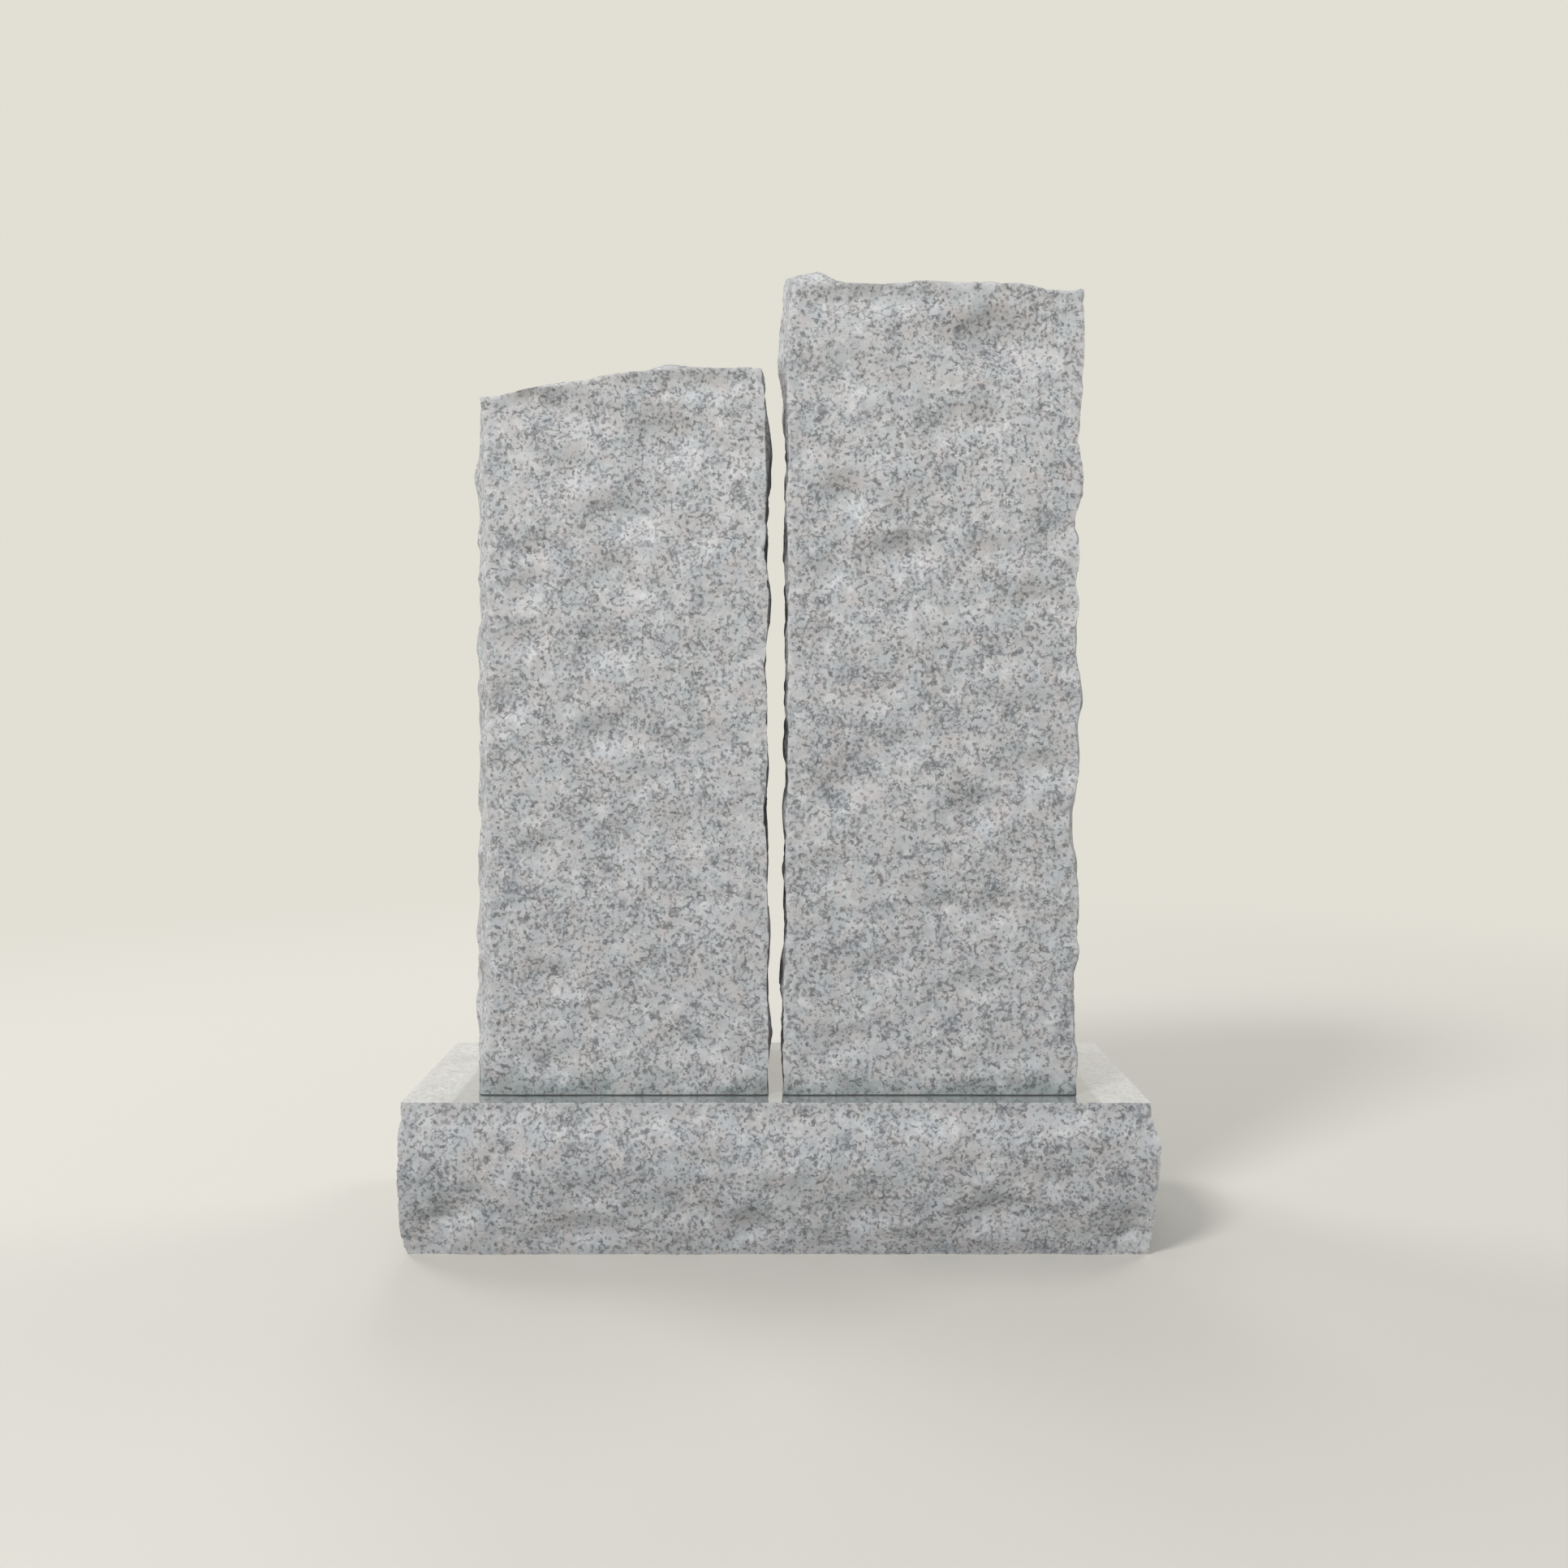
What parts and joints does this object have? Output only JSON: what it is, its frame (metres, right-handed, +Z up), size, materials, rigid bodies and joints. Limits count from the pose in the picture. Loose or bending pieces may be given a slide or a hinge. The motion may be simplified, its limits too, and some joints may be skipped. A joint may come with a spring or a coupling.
{
  "type": "companion headstone",
  "caption": "Two rock-faced granite stones of unequal height set side by side on a pitched granite base with a polished top, a plain memorial for a couple.",
  "frame": {"origin": "centre of the base's underside", "axes": "+X to the right as the front is seen, front towards -Y, +Z up"},
  "size_m": [0.9275, 0.3352, 1.2219],
  "materials": {
    "rock_faced_granite": "rock-faced, satin",
    "base_granite": "polished top, rock-pitched sides",
    "setting_compound": "matt grey jointing compound"
  },
  "bodies": {
    "root": {"base": "base_granite", "left_setting_bed": "setting_compound", "right_setting_bed": "setting_compound", "left_stone": "rock_faced_granite", "right_stone": "rock_faced_granite"}
  },
  "joints": []
}
